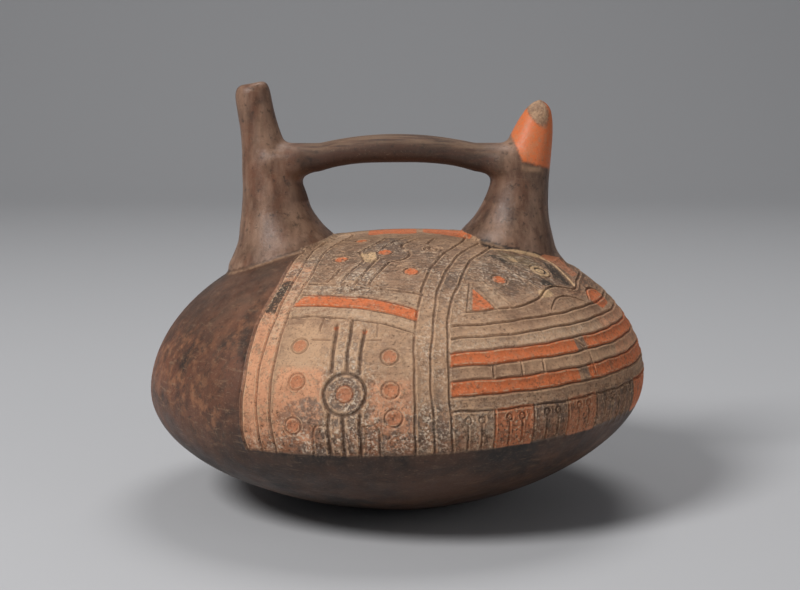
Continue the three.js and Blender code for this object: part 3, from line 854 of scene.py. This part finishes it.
painted = {
    "ground": [
        ([
            *smoothLine(endLines[0], 3).tolist(),
            (-90, 114.9), (90, 114.9), (90, -6), (60, -7), (11, low), (-33.8, low),
        ], True),
    ],
    "orange": [
        between(crossLines[2], crossLines[1], -31, 6),
        inBand(3, 0, 46.4), inBand(3, 48.6), inBand(1, 0, 43.8), inBand(1, 45.8),
        disc(dots[6][0], 2.2), disc(dots[7][0], 2.3), disc(dots[8][0], 2.3), disc(discs[1]["place"], 2.4),
        [(24.2, 51.7), (20.4, 40.6), (27.1, 40.6)],
        [(65, 36), (68, 39.5), (71.5, 40), (75, 39), (77.5, 36), (76, 31.5), (68, 31)],
        fringeCell(1), (box(66, 90, low, 4), True),
        disc(dots[9][0], 2.0),
        disc((-15.4, 35.4), 0.9), disc((-7.9, 34), 0.9),
    ],
    "tint": [
        ([*smoothLine(endLines[0], 3)[:28].tolist(), *smoothLine(endLines[2], 3)[:27][::-1].tolist()], True),
        inBand(2, 60), inBand(4, 60),
        box(-27, -16, -7.5, 20), box(-6, 3, -7, 16),
    ],
    "dull": [
        *[disc(place, radius - 0.5) for place, radius in dots[:6]], disc(discs[0]["place"], discs[0]["pit"]),
        fringeCell(3), fringeCell(1), [(72.5, 61.5), (80, 60), (86, 53.5), (79, 46.5), (71.5, 47), (74.5, 54)],
    ],
    "moss": [
        fromPlan([(35, -22.9), (43.1, -22.2), (50, -23), (50, -29), (46, -33), (39.6, -33.3), (35.7, -29.2)]),
    ],
    "pale": [
        edging(ornament["maskFold"], 1.4), edging([[22, 43.4], [34, 43.2], [42, 45]], 1.6),
        edging(ornament["crownFigure"][0], 1.8), edging(ornament["crownFigure"][2], 1.8),
        between(crossLines[3], crossLines[2], -31, 6), between(crossLines[1], crossLines[0], -31, 7),
        fringeCell(0), inBand(4, 0, 60), [(-18, 59), (-16, 70), (-8, 70), (-5, 67), (-9.2, 58)],
        [(26, 56), (30, 54), (32.4, 41.5), (28.4, 41.5)],
        fromPlan([(-13, -35), (-11, -30), (-7, -28), (-8, -36), (-10, -41)]),
        [(-13.5, 7), (-8.5, 7), (-8, -7), (-13.7, -7)], [(-14.2, 18), (-8.5, 18), (-8.5, 30), (-14.6, 30)],
        ([*smoothLine(endLines[1], 3)[12:].tolist(), *smoothLine(endLines[2], 3)[12:][::-1].tolist()], True),
    ],
    "rim": [
        ring(eye["place"], eye["radius"] - 0.3, eye["centre"] + 0.7), disc(eye["place"], eye["centre"] - 0.2),
        edging(ornament["maskEdge"], 1.0), fromPlan([(38, -25), (40.1, -26), (42.5, -30), (39.7, -31.3)]),
        [(45.5, 45.8), (49.5, 46), (52.5, 43.5), (49, 41.8), (44.5, 42.5)],
        fromPlan([(-13.4, -34), (-10.5, -30.5), (-7.6, -32.5), (-6.8, -41.7), (-10.4, -42)]),
    ],
    "ash": [
        disc(discs[0]["place"], discs[0]["radius"]), fromPlan([
            (-15.5, -46), (-11.4, -40), (-13, -31), (-7.7, -22), (-3, -12), (4, -16), (1.4, -27), (4, -33),
            (3.7, -38), (-0.2, -41.8), (-4.4, -45.7), (-9, -55), (-18, -51.5),
        ]),
        [(7.6, low), (11.3, low), (11.1, 9), (7.4, 7)], [(14, 52), (21, 54), (26, 63), (21, 62), (16, 57)],
        [(-24, 8), (-18, 11.5), (-15.5, 8), (-15, 2), (-20, -1), (-26, 3)],
        [(-27, low), (-15, low), (-15, -4.5), (-26, -3)],
        [(-7, low), (6, low), (6, -2), (0, -4), (-7, -3)], [(-14.2, 6.5), (-8, 6.5), (-8, low), (-14, low)],
        fringeCell(2), fringeCell(4, 66), inBand(3, 45, 50), inBand(1, 42, 47),
        [(-17.6, low), (-14.1, low), (-14, 1.2), (-16.9, 1.2)], [(-7.5, low), (-3.5, low), (-4, 1.2), (-7.4, 1.2)],
    ],
    "dusk": [
        [*ornament["maskFold"][::-1], *ornament["maskEdge"]],
        fromPlan([(42, -36), (45.4, -39), (48.6, -43.3), (45.5, -46), (42.4, -44), (39.7, -41.5)]),
        [(56, 3.5), (90, 3), (90, low), (56, low)], [(12, low), (12, -2), (48, -3), (48, low)],
        [(-18, low), (-4, low), (-4, -4), (-18, -4)], [(30.5, 59), (37, 66), (46, 64), (44, 50), (34, 44)],
    ],
    "soot": [
        disc(eye["place"], eye["radius"] - 0.3),
        [(-42.4, 57), (-38.4, 57), (-34.8, 40), (-38.6, 40)],
        fromPlan([(51, -18), (55.1, -19), (58, -25), (60.8, -30), (57.5, -33), (54, -31.5), (53, -25)]),
        fromPlan([(49.5, -36.5), (54.6, -35.5), (53, -39.6), (49, -41)]),
        fromPlan([(31, -29.5), (38, -35), (40, -33), (34, -28)]),
    ],
}
offWall = 1.6  # what stands further off the wall than this belongs to the spouts and the bridge
paint = {name: np.minimum(together(*areas), (offWall - off) * 3) for name, areas in painted.items()}


def blobs(spots):  # soft spots, each [degrees, steps, half width in degrees, half height in steps, strength]
    total = np.zeros(len(points))
    for azimuth, rise, wide, high, strength in spots:
        apart = (azimuths - azimuth + 180) % 360 - 180
        total += strength * np.exp(-((apart / wide) ** 2) - ((rises - rise) / high) ** 2)
    return np.where(onJar, total, 0)


# Orange on the crown and on the blind spout, in millimetres across, back and over the crown
crownPaint = {"across": (-10.5, 7), "back": (-3.2, 15), "waves": 2.1, "lowest": -14}
patchPaint = {"across": (9.5, 29), "back": (-11, 15), "start": -1.5, "slant": 0.6}
conePaint = {
    "from": 34, "edge": (41.5, 34), "edgeSlant": (1.2, 0.5), "foot": (44, 27), "footSlant": 0.3, "step": 0.45,
    "bareAt": (50.2, 45), "bareSize": (0.85, 1.4), "bareLean": 0.3, "bareRadius": 4.2, "tip": 50,
    "ground": [(56, 78), (63, 72.5), (68.5, 67), (73, 61.5), (76, 56.5), (90, 56), (90, 82), (66, 84)],
    "joint": 24, "jointLean": 0.15, "jointFrom": 44,
}
strapPaint = {"end": 39, "fade": 9, "above": 12}


def within(values, limits):
    return np.minimum(values - limits[0], limits[1] - values)


x, y, z = points.T
up = z - crownHeight
onSpout = (off > offWall - 0.1) & (up > -16)
nearCone = onSpout & (x > conePaint["from"])
waves = np.sin(x / crownPaint["waves"])
wavy = np.minimum(y - crownPaint["back"][0] + waves, crownPaint["back"][1] - y)
slanted = y - patchPaint["start"] + patchPaint["slant"] * (x - patchPaint["across"][0])
patch = np.minimum.reduce([within(x, patchPaint["across"]), within(y, patchPaint["back"]), slanted])
crest = np.maximum(np.minimum(within(x, crownPaint["across"]), wavy), patch)
crest = np.where(onJar & (up > crownPaint["lowest"]), np.clip(crest, far, (offWall - off) * 3), far)
paint["orange"] = np.maximum(paint["orange"], crest)
fromEdge, fromFoot, fromBare = (
    (x - across, up - over) for across, over in (conePaint[name] for name in ("edge", "foot", "bareAt"))
)
side = fromEdge[0] * conePaint["edgeSlant"][0] + fromEdge[1] * conePaint["edgeSlant"][1]
coneEdge = conePaint["step"] * np.minimum(side, fromFoot[1] + fromFoot[0] * conePaint["footSlant"])
wide, high = conePaint["bareSize"]
apart = np.hypot((fromBare[0] + fromBare[1] * conePaint["bareLean"]) / wide, fromBare[1] / high)
bareCone = conePaint["step"] * np.maximum(conePaint["bareRadius"] - apart, up - conePaint["tip"])
paint["orange"] = np.where(nearCone, np.clip(np.minimum(coneEdge, -bareCone), far, -far), paint["orange"])
coneFoot = depthInside(conePaint["ground"], True)
paint["ground"] = np.minimum(paint["ground"], np.where(onJar, -coneFoot, -far))
paint["ground"] = np.where(nearCone, np.clip(bareCone, far, -far), paint["ground"])
fromEnd = np.clip((strapPaint["end"] - np.abs(x)) / strapPaint["fade"], 0, 1)
onBridge = fromEnd * (onSpout & (up > strapPaint["above"]))
seamsAway = np.array([seams.find(place)[2] for place in (points * mm).tolist()]) / mm
joint = up - conePaint["joint"] + (x - 50) * conePaint["jointLean"] + 0.6 * np.sin(azimuths / 9)
seamsAway = np.minimum(seamsAway, np.where(nearCone & (x > conePaint["jointFrom"]), np.abs(joint), 99))

# Wear and stains as soft spots, and the painted highlight on the upward-facing top of the bridge
fields = {
    "warm": blobs([
        (-70, 8, 26, 20, 1.0), (-55, 45, 18, 18, 0.45), (-110, 5, 30, 24, 0.7), (150, -15, 40, 22, 0.5),
        (-40, 28, 8, 24, 0.7), (95, -10, 22, 14, 0.5),
    ]) + np.where(onSpout, np.where(x < 30, np.clip(0.35 - x / 120, 0.2, 0.7), 0.45), 0),
    "polished": np.where(onSpout, 0.95 - 0.85 * onBridge, 0) + blobs([(-60, 50, 30, 20, 0.3)]),
    "gritty": 0.3 + blobs([(-65, 5, 35, 30, 0.7), (60, -25, 60, 14, 0.5)]),
    "grime": np.clip(0.5 + blobs([
        (-10, -4, 40, 9, 0.5), (-33, 50, 10, 22, 0.2), (4, 20, 4, 22, -0.1), (40, -2, 40, 9, 0.45),
        (45, 60, 30, 14, 0.35), (81, 53, 9, 10, 0.6), (-10, 80, 50, 18, 0.8), (-12, 52, 16, 5, 0.5),
        (-21, 26, 7, 16, -0.5), (-6, 33, 4, 8, -0.3), (-18, 47, 16, 4, -0.25), (34, 25, 30, 14, -0.4),
        (-32, 4, 4, 16, -0.3),
    ]), 0, 1.2),
    "smudge": blobs([
        (-42, 34, 6, 14, 0.6), (-72, 14, 20, 9, 0.9), (-52, 4, 12, 9, 0.6), (-62, 24, 12, 6, 0.6),
        (-80, -8, 12, 8, 0.5), (-45, -2, 6, 8, 0.5), (50, -22, 30, 7, 0.3), (85, -14, 12, 8, 0.5),
        (-120, 10, 20, 10, 0.4),
    ]),
    "scorched": blobs([
        (-29, -3, 9, 9, 1.0), (-10, -6, 30, 7, 0.9), (-4, 8, 5, 14, 0.5), (40, -6, 40, 8, 0.8), (-22, 8, 4, 8, 0.4),
        (60, 20, 30, 20, 0.35), (-5, 70, 20, 10, 0.25), (82, 50, 11, 13, 1.0), (62, 42, 20, 5, 0.6),
    ]),
    "weathered": blobs([
        (-10, 80, 46, 17, 0.85), (20, 58, 12, 20, 0.4), (-12, 52, 18, 4, 0.5), (-42, 60, 8, 18, 0.4),
        (82, 48, 12, 12, 1.0), (62, 41, 18, 5, 0.7), (84, 20, 10, 30, 0.4), (36, 37, 14, 3, 0.3),
    ]),
    "streaky": blobs([(36, 60, 9, 9, 0.7), (57, 60, 13, 12, 1.0), (46, 50, 10, 6, 0.5)]),
    "flaky": blobs([
        (-42, 60, 8, 18, 0.9), (16, 58, 9, 22, 0.7), (-14, 64, 9, 9, 1.0), (-8, 90, 14, 8, 0.8),
        (-20, 53, 14, 3, 0.8), (40, 60, 14, 12, 0.6), (-11, 16, 6, 24, 0.9), (0, 0, 16, 8, 0.9),
        (-20, -5, 12, 5, 0.8), (8, 20, 5, 24, 0.5), (22, 2, 14, 5, 0.6), (40, 27, 30, 4, 0.4),
    ]),
    "inward": np.clip(-off - 2, 0, 1) * (up < 5),
    "onBridge": onBridge,
    # painted highlight: where the bridge faces upwards
    "ridge": onBridge * np.clip(upwards * 1.6 - 0.3, 0, 1),
    "onCone": nearCone * np.clip((up - 24) / 4, 0, 1),
    "seam": np.exp(-((seamsAway - 0.4) / 0.55) ** 2),
}


for name, values in {**paint, **fields}.items():
    layer = vessel.data.attributes.new(name, "FLOAT", "POINT")
    layer.data.foreach_set("value", values.astype(np.float32))
laid = vessel.data.attributes.new("laid", "FLOAT_VECTOR", "POINT")
roundAbout = mirrored * np.hypot(x, y) * pi / 180
laidOut = np.stack([roundAbout, rises, np.where(front, 0, 60)], axis=-1)
laid.data.foreach_set("vector", laidOut.astype(np.float32).ravel())
print("paint laid out:", {name: int((values > 0).sum()) for name, values in paint.items()})


# Shader groups that the finish is built from
def objectPlace(tree, other, operation):  # the place on the piece, shifted or stretched
    spot = place(tree, "ShaderNodeTexCoord").outputs["Object"]
    return place(tree, "ShaderNodeVectorMath", {0: spot, 1: other}, operation=operation).outputs[0]


flaking = {"finer": 3.1, "broad": 0.6, "least": 0.3, "span": 0.4, "soft": 0.06}


def wornPaint():
    tree, given, result = newTree("ShaderNodeTree", "wornPaint", {
        "Depth In": ("Float", 0.0), "Wobble": ("Float", 1.0), "Softness": ("Float", 0.4), "Wear": ("Float", 0.4),
        "Patch Size": ("Float", 3.0), "Offset": ("Float", 0.0),
    }, {"Mask": ("Float",)})
    shifted = objectPlace(tree, given["Offset"], "ADD")
    scale = calc(tree, "DIVIDE", 1 / mm, given["Patch Size"])
    broad = noise(tree, vector=shifted, scale=scale, detail=5.0, roughness=0.65)
    finer = calc(tree, "MULTIPLY", scale, flaking["finer"])
    fine = noise(tree, vector=shifted, scale=finer, detail=4.0, roughness=0.7)
    swing = calc(tree, "MULTIPLY", calc(tree, "SUBTRACT", fine, 0.5), given["Wobble"])
    soft = given["Softness"]
    inside = ramp(tree, calc(tree, "ADD", given["Depth In"], swing), calc(tree, "MULTIPLY", soft, -1), soft)
    mixed = calc(tree, "MULTIPLY_ADD", broad, flaking["broad"], calc(tree, "MULTIPLY", fine, 1 - flaking["broad"]))
    threshold = calc(tree, "MULTIPLY_ADD", given["Wear"], flaking["span"], flaking["least"])
    low, high = (calc(tree, way, threshold, flaking["soft"]) for way in ("SUBTRACT", "ADD"))
    kept = ramp(tree, mixed, low, high)
    tree.links.new(calc(tree, "MULTIPLY", inside, kept), result["Mask"])
    return tree


def fireClouds():
    tree, given, result = newTree("ShaderNodeTree", "fireClouds", {
        "Size": ("Float", 20.0), "Low": ("Float", 0.4), "High": ("Float", 0.6), "Detail": ("Float", 6.0),
        "Stretch": ("Vector", (1, 1, 1)),
    }, {"Mask": ("Float",)})
    drawn = objectPlace(tree, given["Stretch"], "MULTIPLY")
    scale = calc(tree, "DIVIDE", 1 / mm, given["Size"])
    clouds = noise(tree, vector=drawn, scale=scale, detail=given["Detail"], roughness=0.62)
    tree.links.new(ramp(tree, clouds, given["Low"], given["High"]), result["Mask"])
    return tree


def brushMarks():  # streaks that follow the ornament round the jar
    tree, given, result = newTree("ShaderNodeTree", "brushMarks", {
        "Length": ("Float", 12.0), "Width": ("Float", 1.0), "Low": ("Float", 0.4), "High": ("Float", 0.6),
    }, {"Mask": ("Float",)})
    laid = place(tree, "ShaderNodeAttribute", attribute_name="laid", attribute_type="GEOMETRY").outputs["Vector"]
    along, across = (calc(tree, "DIVIDE", 1, given[name]) for name in ("Length", "Width"))
    stretch = place(tree, "ShaderNodeCombineXYZ", {"X": along, "Y": across, "Z": across}).outputs[0]
    drawn = place(tree, "ShaderNodeVectorMath", {0: laid, 1: stretch}, operation="MULTIPLY").outputs[0]
    marks = noise(tree, vector=drawn, scale=1.0, detail=5.0, roughness=0.65)
    tree.links.new(ramp(tree, marks, given["Low"], given["High"]), result["Mask"])
    return tree


colours = {
    "charAndShade": (0.026, 0.019, 0.016), "brown": (0.094, 0.045, 0.027), "rust": (0.18, 0.070, 0.038),
    "polish": (0.31, 0.185, 0.122), "smudge": (0.33, 0.145, 0.072), "speckAndHighlight": (0.34, 0.21, 0.125),
    "tan": (0.60, 0.365, 0.215), "drab": (0.32, 0.180, 0.105), "umber": (0.125, 0.073, 0.046),
    "cream": (0.62, 0.42, 0.27), "orange": (0.70, 0.170, 0.050), "rose": (0.55, 0.200, 0.092),
    "ash": (0.165, 0.115, 0.088), "soot": (0.022, 0.019, 0.014), "moss": (0.31, 0.225, 0.115),
    "dirtAndShade": (0.080, 0.040, 0.022), "dust": (0.72, 0.52, 0.34), "crest": (0.64, 0.40, 0.24),
    "russet": (0.34, 0.130, 0.058), "flake": (0.74, 0.60, 0.46), "rim": (0.72, 0.47, 0.25),
    "terracotta": (0.66, 0.22, 0.090), "blush": (0.78, 0.35, 0.185),
}
gloss = {"specular": 0.35, "roughness": 0.42, "swing": 0.16, "polished": 0.1, "matt": 0.22}
grainOf = {"scale": 1150.0, "strength": 0.75, "height": 0.6}


def paintedClay(material):
    material.use_nodes = True
    tree = material.node_tree
    tree.nodes.clear()
    paintGroup, cloudGroup, brushGroup = wornPaint(), fireClouds(), brushMarks()

    def colour(name):
        return (*colours[name], 1)

    def field(name):
        return place(tree, "ShaderNodeAttribute", attribute_name=name, attribute_type="GEOMETRY").outputs["Fac"]

    def mask(group, values):
        names = [socket.name for socket in group.interface.items_tree if socket.in_out == "INPUT"]
        return place(tree, "ShaderNodeGroup", dict(zip(names, values)), node_tree=group).outputs["Mask"]

    def cloud(*values):  # size in millimetres, low, high, detail, stretch
        return mask(cloudGroup, values)

    def brushed(*values):  # length and width in millimetres, low, high
        return mask(brushGroup, values)

    def coat(name, *values):  # wobble, softness, wear, patch size, offset
        return mask(paintGroup, (field(name), *values))

    def times(*factors):
        product = factors[0]
        for factor in factors[1:]:
            product = calc(tree, "MULTIPLY", product, factor, clamp=True)
        return product

    def layered(under, layers):  # each layer is a colour and the factors of its mask
        for top, *factors in layers:
            over = colour(top) if isinstance(top, str) else top
            values = {0: times(*factors), 6: under, 7: over}
            under = place(tree, "ShaderNodeMix", values, data_type="RGBA").outputs[2]
        return under

    # bare clay: smoked brown, redder where the fire reached it, rubbed up and down along the spouts
    gritty, polished, onBridge = field("gritty"), field("polished"), field("onBridge")
    bare = layered(colour("charAndShade"), [
        ("brown", cloud(26, 0.36, 0.62)),
        ("rust", field("warm"), cloud(11, 0.3, 0.62)),
        ("polish", polished, cloud(7, 0.30, 0.66, 6, (1, 1, 0.3)), 0.95),
        ("umber", cloud(1.6, 0.44, 0.66, 5, (1, 1, 0.1)), calc(tree, "SUBTRACT", 1, onBridge), polished, 0.32),
        ("rust", cloud(1.6, 0.42, 0.64, 5, (0.1, 1, 1)), onBridge, 0.5),
        ("umber", cloud(4, 0.5, 0.72, 9), 0.5),
        ("smudge", field("smudge"), cloud(4.5, 0.46, 0.66, 12), 0.85),
        ("speckAndHighlight", cloud(1.5, 0.58, 0.68, 4, (0.22, 0.22, 1.2)), gritty, 0.4),
        ("speckAndHighlight", cloud(1.1, 0.6, 0.7, 4), gritty, 0.5),
        ("charAndShade", cloud(2.0, 0.57, 0.66, 6), 0.5),
        # painted shade: the whole bridge is darkened towards the darkest clay colour
        ("charAndShade", onBridge, 0.55),
        # painted highlight: the upward-facing top of the bridge lightened
        ("speckAndHighlight", field("ridge"), cloud(1.8, 0.30, 0.60, 6, (0.1, 1, 1)), 0.4),
        ("tan", field("seam"), cloud(5, 0.34, 0.6), 0.4),
    ])

    # ground of the ornament: tan wash, worn and stained
    grime, onCone = field("grime"), field("onCone")
    painted = ramp(tree, field("ground"), -0.5, 0.5)
    ground = layered(colour("drab"), [
        ("tan", cloud(14, 0.30, 0.52)),
        ("drab", grime, cloud(8, 0.25, 0.60, 9), 0.85),
        ("umber", brushed(7, 1.2, 0.46, 0.66), grime, 0.6),
        ("cream", brushed(5, 0.5, 0.56, 0.68), 0.4),
    ])
    scorched = times(field("scorched"), cloud(3.6, 0.38, 0.60, 12))
    streaky = times(field("streaky"), painted)
    flaked = times(field("flaky"), painted)
    orange = layered(colour("orange"), [("rose", cloud(2.4, 0.46, 0.70, 9))])
    orangeWear = calc(tree, "MULTIPLY_ADD", onCone, 0.22, 0.18)
    surface = layered(bare, [
        (ground, coat("ground", 2.8, 0.8, 0.16, 3, 0.0)),
        ("blush", coat("tint", 2.0, 1.6, 0.32, 4, 0.3), 0.7),
        ("ash", coat("ash", 1.6, 0.6, 0.44, 2.4, 0.9), 0.78),
        ("umber", coat("dusk", 1.6, 0.6, 0.42, 1.9, 6.3), 0.8),
        ("moss", coat("moss", 1.8, 0.8, 0.44, 2.2, 5.1), 0.75),
        ("cream", coat("pale", 1.4, 0.6, 0.46, 1.4, 1.7), 0.65),
        ("russet", scorched, painted, 0.75),
        ("umber", field("weathered"), painted, brushed(4.5, 1.1, 0.42, 0.55), 0.85),
        ("umber", cloud(1.8, 0.46, 0.57, 8, (0.35, 1, 1)), streaky, 0.85),
        ("flake", cloud(1.2, 0.55, 0.62, 8, (0.35, 1, 1)), streaky, 0.9),
        ("ash", cloud(2.9, 0.50, 0.57, 12), flaked, 0.8),
        ("flake", times(cloud(0.9, 0.51, 0.57, 9), cloud(6, 0.36, 0.56, 9)), flaked, 0.95),
        ("terracotta", ramp(tree, field("orange"), 0.0, 0.4), onCone, 0.9),
        (orange, coat("orange", 1.0, 0.35, orangeWear, 1.7, 2.6), 0.95),
        ("rose", coat("dull", 0.8, 0.35, 0.30, 1.5, 4.2), 0.85),
        ("soot", coat("soot", 1.6, 0.5, 0.36, 1.8, 3.4), 0.92),
        ("rim", coat("rim", 0.7, 0.3, 0.26, 1.3, 7.2), 0.85),
    ])

    # age: stains, rubbed specks and pale dust along the edges of the lines; dirt and painted shade in the beds of the
    # lines; the inside of the jar below the crown darkened nearly to black
    rough = calc(tree, "ADD", grime, 0.15)
    worn = calc(tree, "MULTIPLY_ADD", painted, 0.6, 0.25)
    spot = place(tree, "ShaderNodeTexCoord").outputs["Object"]
    grain = noise(tree, vector=spot, scale=grainOf["scale"], detail=6.0, roughness=0.75)
    stained = times(grime, cloud(3.4, 0.46, 0.66, 12), brushed(6, 1.4, 0.36, 0.60))
    specked = times(cloud(1.0, 0.52, 0.63, 6), cloud(7, 0.34, 0.60), painted, rough)
    pale = times(cloud(0.9, 0.56, 0.65, 6), cloud(6, 0.40, 0.66), painted, rough)
    rubbed = times(ramp(tree, field("raised"), 0.05, 0.15), cloud(1.8, 0.42, 0.60, 9))
    sunk = ramp(tree, field("sunk"), 0.12, 0.5)
    surface = layered(surface, [
        ("umber", stained, painted, 0.8),
        ("dirtAndShade", specked, 0.85),
        ("dirtAndShade", cloud(1.0, 0.56, 0.66, 8), scorched, painted, 0.9),
        ("dust", pale, 0.75),
        ("dirtAndShade", ramp(tree, grain, 0.46, 0.34), worn, 0.7),
        ("dust", ramp(tree, grain, 0.56, 0.68), worn, rough, 0.6),
        ("crest", rubbed, calc(tree, "MULTIPLY_ADD", painted, 0.7, 0.1)),
        # dirt and painted shade: the beds of the lines darkened
        ("dirtAndShade", sunk, calc(tree, "MULTIPLY_ADD", cloud(3, 0.35, 0.6), 0.3, 0.5)),
        ("charAndShade", field("inward")),
    ])

    sheen = calc(tree, "MULTIPLY_ADD", cloud(7, 0.3, 0.7), gloss["swing"], gloss["roughness"])
    bareRough = calc(tree, "SUBTRACT", sheen, times(polished, gloss["polished"]))
    matt = calc(tree, "MAXIMUM", painted, onBridge)
    roughness = calc(tree, "ADD", bareRough, calc(tree, "MULTIPLY", matt, gloss["matt"]))
    grit = calc(tree, "MULTIPLY", grain, calc(tree, "MULTIPLY_ADD", painted, 0.7, 0.3))
    bumpValues = {"Height": grit, "Strength": grainOf["strength"], "Distance": grainOf["height"] * mm}
    shader = place(tree, "ShaderNodeBsdfPrincipled", {
        "Base Color": surface, "Roughness": roughness, "Specular IOR Level": gloss["specular"],
        "Normal": place(tree, "ShaderNodeBump", bumpValues).outputs[0],
    })
    output = place(tree, "ShaderNodeOutputMaterial")
    tree.links.new(shader.outputs[0], output.inputs["Surface"])


paintedClay(finish)
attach(vessel, "root")
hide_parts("vessel")
print("finish mixed")

# Studio: a pale sweep, a large soft lamp up on the left, a weaker one on the right
studio = {
    "floorHalf": 1.6, "sideHalf": 2.4, "back": 1.1, "bend": 0.7, "wall": 2.2, "tone": (0.50, 0.50, 0.51),
    "roughness": 0.85, "world": (0.30, 0.31, 0.33), "worldStrength": 0.35, "aim": (0, 0, 0.06),
}
lamps = {
    "key": {"at": (-0.78, -0.80, 1.05), "size": 0.5, "power": 18},
    "fill": {"at": (1.20, -0.8, 0.55), "size": 0.9, "power": 1.9},
    "top": {"at": (0.15, 0.45, 1.3), "size": 0.7, "power": 6},
}


def studioSweep():
    turn = np.linspace(0, pi / 2, 16)
    profile = [(-studio["floorHalf"], 0), *zip(
        studio["back"] + studio["bend"] * np.sin(turn), studio["bend"] * (1 - np.cos(turn))
    ), (studio["back"] + studio["bend"], studio["wall"])]
    points = [(x, y, z) for y, z in profile for x in (-studio["sideHalf"], studio["sideHalf"])]
    faces = [(2 * i, 2 * i + 1, 2 * i + 3, 2 * i + 2) for i in range(len(profile) - 1)]
    sweep = meshObject("studioSweep", points, faces)
    for polygon in sweep.data.polygons:
        polygon.use_smooth = True
    paper = bpy.data.materials.new("palePaper")
    paper.use_nodes = True
    paper.node_tree.nodes["Principled BSDF"].inputs["Base Color"].default_value = (*studio["tone"], 1)
    paper.node_tree.nodes["Principled BSDF"].inputs["Roughness"].default_value = studio["roughness"]
    sweep.data.materials.append(paper)


def addLamp(name, settings):
    light = bpy.data.lights.new(name + "Lamp", "AREA")
    light.shape = "DISK"
    light.size = settings["size"]
    light.energy = settings["power"]
    lamp = bpy.data.objects.new(name + "Lamp", light)
    lamp.location = settings["at"]
    lamp.rotation_euler = (Vector(studio["aim"]) - Vector(settings["at"])).to_track_quat("-Z", "Y").to_euler()
    bpy.context.collection.objects.link(lamp)


studioSweep()
for name, settings in lamps.items():
    addLamp(name, settings)
world = bpy.data.worlds.new("studioWorld")
world.use_nodes = True
world.node_tree.nodes["Background"].inputs["Color"].default_value = (*studio["world"], 1)
world.node_tree.nodes["Background"].inputs["Strength"].default_value = studio["worldStrength"]
bpy.context.scene.world = world
bpy.context.scene.view_settings.view_transform = "Standard"
print("studio lit")
